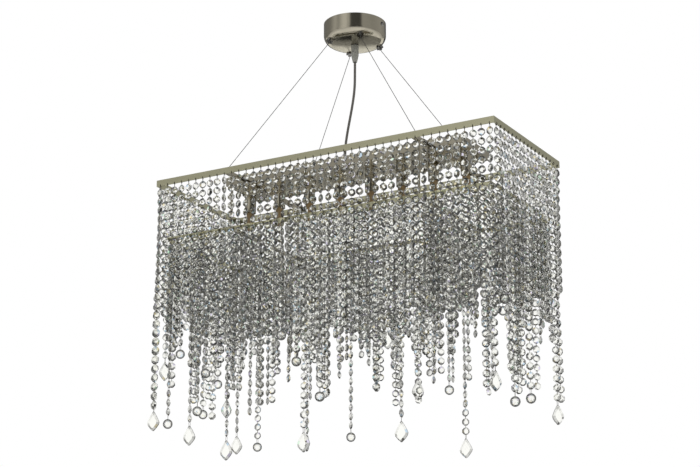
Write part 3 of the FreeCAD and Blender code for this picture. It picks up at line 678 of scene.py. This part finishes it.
@dataclass
class BeadStrings:
    """The bead strings of one row, with their links."""

    row: Row
    body: str
    seed: int
    bead: Octagon = OUTER_BEAD
    straight_share: float = 0.92
    straight_spread: float = math.radians(12)
    twist_rate: float = math.radians(4.5)
    twist_step: float = math.radians(7)
    painted_shade_step: float = math.radians(35)

    def build(self) -> None:
        """Makes the beads as one piece and the links as another."""
        dice = np.random.default_rng(self.seed)
        counts = self.row.beads()
        string = np.repeat(np.arange(len(counts)), counts)
        step = np.concatenate([np.arange(count) for count in counts])
        heights = self.row.top - FIRST_BEAD_DROP - step * BEAD_PITCH
        places = self.row.at(self.row.places[string], heights)
        turns = self._turns(counts, string, step, dice)
        # Each string's side of painted shade, turning a little from bead to bead.
        dark = dice.uniform(0, FULL_TURN, len(counts))[string]
        dark = dark + dice.normal(0, self.painted_shade_step, len(string))
        beads = tiled(self.bead.shape(), turns, places, self.bead.shades(dark, dice))
        links = tiled(Link().shape(), turns, places + np.array((0, 0, BEAD_PITCH / 2)))
        for shape, kind, slot, finish in (
                (beads, "beads", Slot.CRYSTAL, CRYSTAL),
                (links, "links", Slot.CHROME_FITTINGS, LINK_WIRE)):
            shape.placed(f"{self.row.node}_{kind}", self.body, slot, finish, self.row.node)

    def _turns(self, counts: np.ndarray, string: np.ndarray, step: np.ndarray,
               dice: Generator) -> np.ndarray:
        """How far each bead is turned about its string.

        A string starts either nearly flat to its row or turned any way. Further down it twists
        at its own slow rate, and each bead also turns a little from the one above.

        Args:
            counts: how many beads each string has.
            string: which string each bead is on.
            step: how many beads are above each bead on its string.
            dice: the source of chance.

        Returns:
            One angle for each bead.
        """
        flat = dice.normal(0, self.straight_spread, len(counts))
        free = dice.uniform(-math.pi / 2, math.pi / 2, len(counts))
        straight = dice.random(len(counts)) < self.straight_share
        start = self.row.facing() + np.where(straight, flat, free)
        rate = dice.normal(0, self.twist_rate, len(counts))
        walk = np.cumsum(dice.normal(0, self.twist_step, len(string)))
        first = np.concatenate([[0], np.cumsum(counts)[:-1]])
        return start[string] + rate[string] * step + walk - walk[first][string]


@dataclass
class StripHooks:
    """The small dark wire rings through a strip's lower edge, one above each string."""

    row: Row
    above_edge: float = 4 * MM
    below_edge: float = 1.9 * MM
    width: float = 3.4 * MM
    wire: float = 0.65 * MM
    steps: int = 8
    sides: int = 4

    def build(self) -> None:
        """Puts one ring through the strip at each hook, standing square to the strip."""
        line = self.row.places
        height = self.above_edge + self.below_edge
        ring = Link(height, self.width, self.wire, self.steps, self.sides)
        middle = self.row.top + (self.above_edge - self.below_edge) / 2
        turns = np.full(len(line), self.row.facing())
        rings = tiled(ring.shape(), turns, self.row.at(line, middle))
        rings.placed(f"{self.row.node}_hooks", "frame", Slot.CHROME_FITTINGS, HOOK_WIRE)


def connected_parts(node: Object) -> list[np.ndarray]:
    """The separate parts of a node's mesh.

    Points at the same place count as one. Each point starts with its own label, and every edge
    then gives its ends their lowest label, until nothing changes.

    Args:
        node: the node.

    Returns:
        The points of each part.
    """
    points = node_points(node)
    cells = np.round(points / SAME_PLACE).astype(int)
    same = np.unique(cells, axis=0, return_inverse=True)[1].ravel()
    labels = np.arange(same.max() + 1)
    edges = np.empty(len(node.data.edges) * 2, dtype=np.int64)
    node.data.edges.foreach_get("vertices", edges)
    ends = same[edges].reshape(-1, 2)
    before = None
    while not np.array_equal(before, labels):
        before = labels.copy()
        lowest = labels[ends].min(axis=1)
        np.minimum.at(labels, ends[:, 0], lowest)
        np.minimum.at(labels, ends[:, 1], lowest)
    owner = labels[same]
    return [points[owner == label] for label in np.unique(owner)]


@dataclass
class CutPendants:
    """The drops and balls at the ends of one row's strings."""

    node: str
    body: str
    seed: int
    link: float = 7 * MM
    link_overlap: float = 3.5 * MM
    link_width: float = 2.8 * MM
    link_steps: int = 8
    ball_height: float = 32 * MM
    ball_sides: int = 20
    ball_rows: int = 11
    pole_gap: float = 0.08
    ball_dullest: float = 0.92
    bevel: float = 0.8
    bevel_painted_darkest: float = 0.6
    foot_painted_shade: float = 0.45
    girdle_share: float = 0.16
    girdle_painted_shade: float = 0.1
    drop_turn: float = -math.radians(35)
    drop_centre: float = 0.56
    drop_outline: tuple[tuple[float, float], ...] = (
        (0.07, 0.0), (0.27, 0.1), (0.52, 0.24), (0.8, 0.41), (1.0, 0.58), (0.9, 0.7), (0.5, 0.87),
        (0.08, 1.0))

    def build(self, source: Object) -> None:
        """Cuts one pendant in the place of each solid, and hangs each on its wire link.

        Args:
            source: the node that the pendants replace.
        """
        dice = np.random.default_rng(self.seed)
        balls = []
        drops = []
        tops = []
        for points in connected_parts(source):
            low, high = points.min(axis=0), points.max(axis=0)
            tops.append([*(high + low)[:2] / 2, high[2] - self.link / 2])
            if high[2] - low[2] < self.ball_height:
                balls.append(self._ball(low, high, dice))
            else:
                drops.append(self._drop(low, high, dice))
        for kind, cuts, finish in (("balls", balls, BALL_CRYSTAL), ("drops", drops, CRYSTAL)):
            if cuts:
                joined(cuts).placed(
                    f"{self.node}_cut_{kind}", self.body, Slot.CRYSTAL, finish, self.node)
        ring = Link(self.link + self.link_overlap, self.link_width, steps=self.link_steps)
        turns = dice.uniform(0, math.pi, len(tops))
        tiled(ring.shape(), turns, np.array(tops)).placed(
            f"{self.node}_links", self.body, Slot.CHROME_FITTINGS, LINK_WIRE, self.node)

    def _ball(self, low: np.ndarray, high: np.ndarray, dice: Generator) -> Shape:
        """A finely cut ball: its rows of facets lie on rings between the two poles.

        Args:
            low: the lowest corner of the solid's box.
            high: the highest corner of the solid's box.
            dice: the source of chance.

        Returns:
            The ball, with its facets' colours.
        """
        radius = (high - low)[:2].max() / 2
        middle = np.array([*(high + low)[:2] / 2, high[2] - self.link - radius])
        rise = np.linspace(self.pole_gap, math.pi - self.pole_gap, self.ball_rows)[:, None]
        shift = (np.arange(self.ball_rows) % 2)[:, None] * 0.5
        angle = (np.arange(self.ball_sides)[None, :] + shift) * FULL_TURN / self.ball_sides
        reach = radius * np.sin(rise)
        points = grid_points(reach * np.cos(angle), reach * np.sin(angle), radius * np.cos(rise))
        quads = grid_faces(self.ball_rows, self.ball_sides)
        triangles = np.concatenate([quads[:, [0, 1, 2]], quads[:, [0, 2, 3]]])[:, ::-1]
        pole = np.arange(self.ball_sides)
        caps = np.stack([pole, (self.ball_rows - 1) * self.ball_sides + pole[::-1]])
        grey = dice.uniform(self.ball_dullest, 1.0, len(triangles))
        colours = np.concatenate([OUTER_BEAD.with_painted_fire(grey, dice), plain_colour(np.ones(2))])
        return Shape(points + middle, [triangles, caps], colours)

    def _drop(self, low: np.ndarray, high: np.ndarray, dice: Generator) -> Shape:
        """A flat pear: a clear table on each side with a bevel all round, and a thin girdle.

        The outline is a share of the half width at each share of the height. A table is the
        outline drawn in towards the pear's centre.

        Args:
            low: the lowest corner of the solid's box.
            high: the highest corner of the solid's box.
            dice: the source of chance.

        Returns:
            The drop, with its facets' colours.
        """
        half = (high - low)[:2] / 2
        wide = int(half[1] > half[0])
        top = high[2] - self.link
        height = top - low[2]
        shares = np.array(self.drop_outline)
        side = half[wide] * shares[:, 0]
        depth = top - height * shares[:, 1]
        along = np.concatenate([side, -side[::-1]])
        up = np.concatenate([depth, depth[::-1]])
        centre = top - height * self.drop_centre
        rings = []
        for share, thick in ((self.bevel, -1.0), (1.0, -self.girdle_share),
                             (1.0, self.girdle_share), (self.bevel, 1.0)):
            ring = np.zeros((len(along), 3))
            ring[:, wide] = along * share
            ring[:, 1 - wide] = thick * half[1 - wide]
            ring[:, 2] = centre + (up - centre) * share
            rings.append(ring)
        points = np.concatenate(rings)
        sides = len(along)
        quads = grid_faces(len(rings), sides)
        tables = np.stack([np.arange(sides)[::-1], (len(rings) - 1) * sides + np.arange(sides)])
        if wide:
            cosine, sine = math.cos(self.drop_turn), math.sin(self.drop_turn)
            points[:, :2] = points[:, :2] @ np.array([[cosine, sine], [-sine, cosine]])
            quads, tables = quads[:, ::-1], tables[:, ::-1]
        points += np.array([*(high + low)[:2] / 2, 0.0])
        # Painted shade: the bevels are dimmed at random, those below the centre more, and the
        # girdle is nearly black.
        bevel = dice.uniform(self.bevel_painted_darkest, 1.0, (2, sides))
        bevel[:, (up + np.roll(up, -1)) / 2 < centre] *= self.foot_painted_shade
        grey = np.concatenate([bevel[0], np.full(sides, self.girdle_painted_shade), bevel[1]])
        colours = np.concatenate([OUTER_BEAD.with_painted_fire(grey, dice), plain_colour(np.ones(2))])
        return Shape(points, [quads, tables], colours)


@dataclass
class Crystals:
    """All the rows of strings, outer and inner, and their pendants."""

    nodes: dict[str, Object]
    top_strip: str = "frame_front_rail"
    grid_strip: str = "grid_front_rail"
    grid_bars: str = "grid_cross_bars"
    first_seed: int = 11
    outer: tuple[tuple[str, Along, tuple[str, ...]], ...] = (
        ("front", Along.X, ("front_drops", "front_balls")),
        ("back", Along.X, ("back_drops", "back_balls")),
        ("left", Along.Y, ("left_pendants",)),
        ("right", Along.Y, ("right_pendants",)))
    inner: tuple[tuple[str, Along], ...] = (
        ("inner_front_strands", Along.X), ("inner_back_strands", Along.X),
        ("inner_left_strands", Along.Y), ("inner_right_strands", Along.Y),
        ("cross_left_strands", Along.Y), ("cross_right_strands", Along.Y))

    def build(self) -> None:
        """Strings every row: the outer ones ride on their curtain's body, the inner ones on the
        frame.
        """
        seed = self.first_seed
        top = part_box(self.top_strip)[0][2]
        for side, along, pendants in self.outer:
            body = f"{side}_curtain"
            row = Row.read(self.nodes[f"{side}_strands"], along, top)
            BeadStrings(row, body, seed).build()
            StripHooks(row).build()
            for name in pendants:
                seed += 1
                CutPendants(name, body, seed).build(self.nodes[name])
            seed += 1
        for name, along in self.inner:
            strip = self.grid_strip if name.startswith("inner") else self.grid_bars
            row = Row.read(self.nodes[name], along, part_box(strip)[0][2])
            BeadStrings(row, "frame", seed, PAINTED_SHADE_INNER_BEAD).build()
            seed += 1


# Canopy


@dataclass
class Canopy:
    """The spun cup under the ceiling: a straight wall, a rounded edge and a shallow domed floor."""

    radius: float = 63 * MM
    height: float = 43 * MM
    wall: float = 1 * MM
    edge: float = 18 * MM
    hole: float = 5 * MM
    dome: float = 2.2 * MM
    steps: int = 20
    sides: int = 120

    def build(self) -> None:
        """Turns the cup's outside, its inside and its rim about the vertical axis."""
        rim = np.array([(self.radius - self.wall, 0.0), (self.radius, 0.0)])
        turn = np.linspace(0, FULL_TURN, self.sides, endpoint=False)
        skins = []
        for run in (self._skin(0.0), self._skin(self.wall)[::-1], rim):
            reach, height = run[:, :1], run[:, 1:]
            points = grid_points(reach * np.cos(turn), reach * np.sin(turn), height)
            skins.append(Shape(points, [grid_faces(len(run), self.sides)[:, ::-1]], smooth=True))
        joined(skins).placed(
            "canopy_cup", "canopy_unit", Slot.POLISHED_NICKEL, POLISHED_NICKEL, "canopy")

    def _skin(self, inward: float) -> np.ndarray:
        """The radius and height of one side of the wall, from the rim to the cord's hole.

        The edge is a quarter circle, and the floor sags by its dome times one less the square of
        its share of the way out.

        Args:
            inward: how far inside the outer surface it lies.

        Returns:
            One row of radius and height for each point.
        """
        bend = np.linspace(0, math.pi / 2, self.steps)
        centre = self.radius - self.edge
        reach = self.edge - inward
        fall = self.edge - self.height - reach * np.sin(bend)
        arc = np.stack([centre + reach * np.cos(bend), fall], axis=-1)
        inner = np.linspace(centre, self.hole, self.steps)[1:]
        sag = self.dome * (1 - (inner / centre) ** 2)
        floor = np.stack([inner, inward - self.height - sag], axis=-1)
        return np.concatenate([[(self.radius - inward, 0.0)], arc, floor])


# Cables and cord


@dataclass
class HangingLine:
    """A cable or cord between the canopy and the frame."""

    name: str
    route: np.ndarray
    diameter: float
    length: float
    stiffness: str
    lay: str
    node: str
    slot: Slot
    finish: Finish
    lift: float = 0.12
    sides: int = 16
    steps_between: int = 12

    def build(self) -> None:
        """Runs a tube along the smooth line of the route's points."""
        path = self._smooth_line()
        tube = tube_along(path, self.diameter / 2, self.sides)
        piece = tube.placed(self.name, "canopy_unit", self.slot, self.finish, self.node)
        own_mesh(piece)

    def _smooth_line(self) -> np.ndarray:
        """Draws the route as a smooth spline and reads its points back.

        Returns:
            One row of x, y and z for each point.
        """
        curve = bpy.data.curves.new(f"{self.name}_line", "CURVE")
        curve.dimensions = "3D"
        spline = curve.splines.new("NURBS")
        spline.points.add(len(self.route) - 1)
        for point, place in zip(spline.points, self.route):
            point.co = (*place, 1.0)
        spline.order_u = 3
        spline.use_endpoint_u = True
        spline.resolution_u = self.steps_between
        line = add_object(curve.name, curve)
        bpy.context.view_layer.update()
        mesh = bpy.data.meshes.new_from_object(line)
        points = np.empty(len(mesh.vertices) * 3)
        mesh.vertices.foreach_get("co", points)
        bpy.data.objects.remove(line)
        bpy.data.meshes.remove(mesh)
        bpy.data.curves.remove(curve)
        return points.reshape(-1, 3)


@dataclass
class Suspension:
    """Four thin cables from the canopy's grippers to the frame, and the power cord."""

    gripper_tip: Point = (36.713 * MM, 42.236 * MM, -47.472 * MM)
    gripper_heading: Point = (0.2876, 0.3308, -0.8988)
    foot: Point = (208 * MM, 137.5 * MM, -314 * MM)
    end_run: float = 3 * MM
    cable_diameter: float = 1.2 * MM
    cable_length: float = 331.5 * MM
    cord_diameter: float = 5 * MM
    cord_length: float = 215.9 * MM
    cord_route: tuple[Point, ...] = (
        (0, 0, -82), (0, 0, -107.3), (-0.8, 0.4, -138), (-4.8, -0.5, -170), (-11, -0.8, -201),
        (-17.6, -0.4, -231), (-23, 0, -263.3), (-23, 0, -296))

    def build(self) -> None:
        """Hangs the four cables and the cord."""
        for number, corner in enumerate(((-1, -1), (-1, 1), (1, -1), (1, 1)), start=1):
            HangingLine(f"suspension_cable_{number}", self._cable_route(*corner),
                        self.cable_diameter, self.cable_length, "medium", "taut",
                        "suspension_cables", Slot.STEEL_CABLE, STEEL_WIRE).build()
        HangingLine("power_cord_line", np.array(self.cord_route) * MM, self.cord_diameter,
                    self.cord_length, "medium", "hanging", "power_cord", Slot.GREY_PLASTIC,
                    CORD_SHEATH).build()

    def _cable_route(self, side: int, depth: int) -> np.ndarray:
        """The gripper's nose, a short lead out of it, the long run, and the anchor.

        Args:
            side: 1 on the right, -1 on the left.
            depth: 1 at the back, -1 at the front.

        Returns:
            The cable's six points.
        """
        flip = np.array((side, depth, 1))
        tip = np.array(self.gripper_tip) * flip
        lead = tip + np.array(self.gripper_heading) * flip * self.end_run
        foot = np.array(self.foot) * flip
        above = foot + np.array((0, 0, self.end_run))
        run = (above - lead) / np.linalg.norm(above - lead) * self.end_run
        return np.array([tip, lead, lead + run, above - run, above, foot])


# Solids that keep their shape


@dataclass
class DressedSolids:
    """The solids that stay as they are, each with its slot's own finish."""

    nodes: dict[str, Object]

    def build(self, record: dict) -> None:
        """Gives each node that still shows the material of its slot.

        Args:
            record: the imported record, which names each node's slot.
        """
        for entry in record["subparts"]:
            finish = SLOT_FINISHES.get(Slot(entry["material_slot"]))
            node = self.nodes[entry["node"]]
            if finish is not None and not node.hide_render:
                node.data.materials.clear()
                node.data.materials.append(finish.material())


# Studio


@cache
def cloth(tone: float) -> Material:
    """A plain dull cloth of one faintly warm grey, built once for each tone."""
    return start_material(f"cloth_{round(tone * 100)}", Base_Color=shade(CLOTH_TINT, tone),
                          Roughness=1.0, Specular_IOR_Level=0.0)[0]


@dataclass(frozen=True)
class Flag:
    """A cloth on part of a sphere about the object, met only by refractions or by reflections.

    Its reach is in degrees: round from the front towards the right, and up from the horizon.
    """

    start: float
    end: float
    low: float
    high: float
    tone: float = 0.02
    distance: float = 3.3
    for_glass: bool = True
    level: float = -0.45
    lean: float = 0.0
    lean_power: int = 4
    rows: int = 8
    columns: int = 12

    def build(self, name: str) -> None:
        """Hangs the flag.

        Its point at a turn t from the front and a rise r is the axis at its level plus the
        distance times (sin t cos r, -cos t cos r, sin r). A leaning flag rises by its lean at
        its end, ever more steeply.

        Args:
            name: the flag's name.
        """
        rise, turn = np.meshgrid(
            np.radians(np.linspace(self.low, self.high, self.rows)),
            np.radians(np.linspace(self.start, self.end, self.columns)), indexing="ij")
        rise += np.radians(self.lean) * np.linspace(0, 1, self.columns) ** self.lean_power
        points = self.distance * grid_points(
            np.sin(turn) * np.cos(rise), -np.cos(turn) * np.cos(rise), np.sin(rise))
        points[:, 2] += self.level
        row, column = np.meshgrid(
            np.arange(self.rows - 1), np.arange(self.columns - 1), indexing="ij")
        corner = (row * self.columns + column).ravel()
        above = corner + self.columns
        quads = np.stack([corner, corner + 1, above + 1, above], axis=-1)
        mesh = bpy.data.meshes.new(name)
        mesh.from_pydata(points.tolist(), [], quads.tolist())
        mesh.materials.append(cloth(self.tone))
        piece = add_object(name, mesh)
        piece.visible_camera = piece.visible_diffuse = piece.visible_shadow = False
        piece.visible_glossy = not self.for_glass
        piece.visible_transmission = self.for_glass


@dataclass(frozen=True)
class Lamp:
    """A square soft lamp that neither metal nor glass shows."""

    place: Point
    size: float
    power: float

    def build(self, name: str, target: Point) -> None:
        """Hangs the lamp.

        Args:
            name: the lamp's name.
            target: the point that it faces.
        """
        light = bpy.data.lights.new(name, "AREA")
        light.shape = "SQUARE"
        light.size = self.size
        light.energy = self.power
        lamp = add_object(name, light)
        lamp.location = self.place
        aim = Vector(target) - Vector(self.place)
        lamp.rotation_euler = aim.to_track_quat("-Z", "Y").to_euler()
        lamp.visible_glossy = False
        lamp.visible_transmission = False


@dataclass
class Studio:
    """The floor, the flags, the lamps, the white surround and the camera."""

    camera_place: Point = (1.726, -3.027, -1.503)
    camera_heading: Point = (-0.4763, 0.8298, 0.2911)
    lens: float = 95.5
    film_width: float = 36.0
    furthest_seen: float = 100.0
    floor_height: float = -1.75
    floor_size: float = 14.0
    floor_tone: float = 0.9
    floor_roughness: float = 0.9
    middle: Point = (0.0, 0.0, -0.5)
    plain_level: float = 0.7
    mirrored_blue: float = 0.98
    flags: tuple[Flag, ...] = (
        Flag(12, 56, 4, 50), Flag(-76, -33, 4, 45), Flag(-30, 8, 46, 80), Flag(124, 172, 36, 78),
        Flag(165, 255, -62, -21, tone=0.27, distance=1.9, for_glass=False, level=-0.05),
        Flag(165, 255, -20, -4, tone=1.0, distance=1.9, for_glass=False, level=-0.05),
        Flag(228, 194, -35, -28, tone=0.0, distance=1.85, for_glass=False, level=-0.05, lean=-24))
    mirrored: tuple[tuple[float, float], ...] = (
        (-180, 0.1), (-150, 0.08), (-125, 0.2), (-72, 0.3), (-48, 0.6), (-33, 0.42), (-24, 0.62),
        (-14, 0.8), (8, 0.6), (15, 0.08), (50, 0.08), (58, 0.45), (100, 0.4), (135, 0.46),
        (155, 0.38), (170, 0.3))
    lamps: tuple[Lamp, ...] = (
        Lamp((2.6, -2.4, 1.2), 2.2, 60.0), Lamp((-2.8, -1.6, 0.6), 2.0, 30.0),
        Lamp((0.4, 3.0, 0.8), 2.4, 40.0))

    def build(self) -> None:
        """Sets up everything round the object."""
        self._surround()
        self._floor()
        for number, flag in enumerate(self.flags, start=1):
            flag.build(f"flag_{number}")
        for number, lamp in enumerate(self.lamps, start=1):
            lamp.build(f"soft_lamp_{number}", self.middle)
        self._camera()

    def _camera(self) -> None:
        """The camera, where the photograph was taken from."""
        data = bpy.data.cameras.new("camera")
        data.lens = self.lens
        data.sensor_width = self.film_width
        data.sensor_fit = "HORIZONTAL"
        data.clip_end = self.furthest_seen
        camera = add_object("camera", data)
        camera.location = self.camera_place
        heading = Vector(self.camera_heading)
        camera.rotation_euler = heading.to_track_quat("-Z", "Y").to_euler()
        bpy.context.scene.camera = camera

    def _surround(self) -> None:
        """A world white to the eye and through glass, plain as a light, and toned in mirrors."""
        world = bpy.data.worlds.new("white_surround")
        bpy.context.scene.world = world
        world.use_nodes = True
        tree = world.node_tree
        tree.nodes.clear()
        out = tree.nodes.new("ShaderNodeOutputWorld")
        path = tree.nodes.new("ShaderNodeLightPath")
        white = (1, 1, 1, 1)
        seen = add_node(tree, "ShaderNodeBackground", Color=white, Strength=1.0)
        lit = add_node(tree, "ShaderNodeBackground", Color=white, Strength=self.plain_level)
        mirrored = add_node(tree, "ShaderNodeBackground", Strength=1.0)
        through = tree.nodes.new("ShaderNodeMath")
        through.operation = "MAXIMUM"
        reflected = tree.nodes.new("ShaderNodeMixShader")
        either = tree.nodes.new("ShaderNodeMixShader")
        join(tree, (self._room_tone(tree), "Color", mirrored, "Color"),
             (path, "Is Camera Ray", through, 0), (path, "Is Transmission Ray", through, 1),
             (path, "Is Glossy Ray", reflected, 0), (lit, 0, reflected, 1),
             (mirrored, 0, reflected, 2), (through, 0, either, 0), (reflected, 0, either, 1),
             (seen, 0, either, 2), (either, 0, out, 0))

    def _room_tone(self, tree: NodeTree) -> Node:
        """The room's grey by direction: it goes from stop to stop with the turn round the object.

        A turn is measured from the front towards the right. The ramp runs the other way, from the
        back, as the arc tangent of x over y gives it.

        Args:
            tree: the world's node tree.

        Returns:
            The ramp, with a Color output.
        """
        place = tree.nodes.new("ShaderNodeTexCoord")
        split = tree.nodes.new("ShaderNodeSeparateXYZ")
        turn = tree.nodes.new("ShaderNodeMath")
        turn.operation = "ARCTAN2"
        share = add_node(tree, "ShaderNodeMapRange", From_Min=-math.pi, From_Max=math.pi)
        ramp = tree.nodes.new("ShaderNodeValToRGB")
        stops = sorted(((360 - angle) % 360 / 360, grey) for angle, grey in self.mirrored)
        elements = ramp.color_ramp.elements
        while len(elements) < len(stops):
            elements.new(0.5)
        for element, (position, grey) in zip(elements, stops):
            element.position = position
            element.color = (grey, grey, grey * self.mirrored_blue, 1.0)
        join(tree, (place, "Generated", split, 0), (split, "X", turn, 0), (split, "Y", turn, 1),
             (turn, 0, share, "Value"), (share, "Result", ramp, "Fac"))
        return ramp

    def _floor(self) -> None:
        """A pale floor well below the object."""
        half = self.floor_size / 2
        corners = [(x * half, y * half, self.floor_height)
                   for x, y in ((-1, -1), (1, -1), (1, 1), (-1, 1))]
        mesh = bpy.data.meshes.new("floor")
        mesh.from_pydata(corners, [], [(0, 1, 2, 3)])
        pale = shade((1.0, 1.0, 1.0), self.floor_tone)
        mesh.materials.append(
            start_material("pale_floor", Base_Color=pale, Roughness=self.floor_roughness)[0])
        add_object("floor", mesh)


def main() -> None:
    """Loads the frame, builds each sub-assembly and sets up the studio."""
    logging.basicConfig(level=logging.INFO, format="%(name)s %(message)s")
    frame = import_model()
    Studio().build()
    Canopy().build()
    Suspension().build()
    Crystals(frame["nodes"]).build()
    DressedSolids(frame["nodes"]).build(frame["record"])
    scene = bpy.context.scene
    scene.view_settings.view_transform = "Standard"
    scene.cycles.max_bounces = LIGHT_BOUNCES
    scene.cycles.transmission_bounces = LIGHT_BOUNCES


if __name__ == "__main__":
    main()
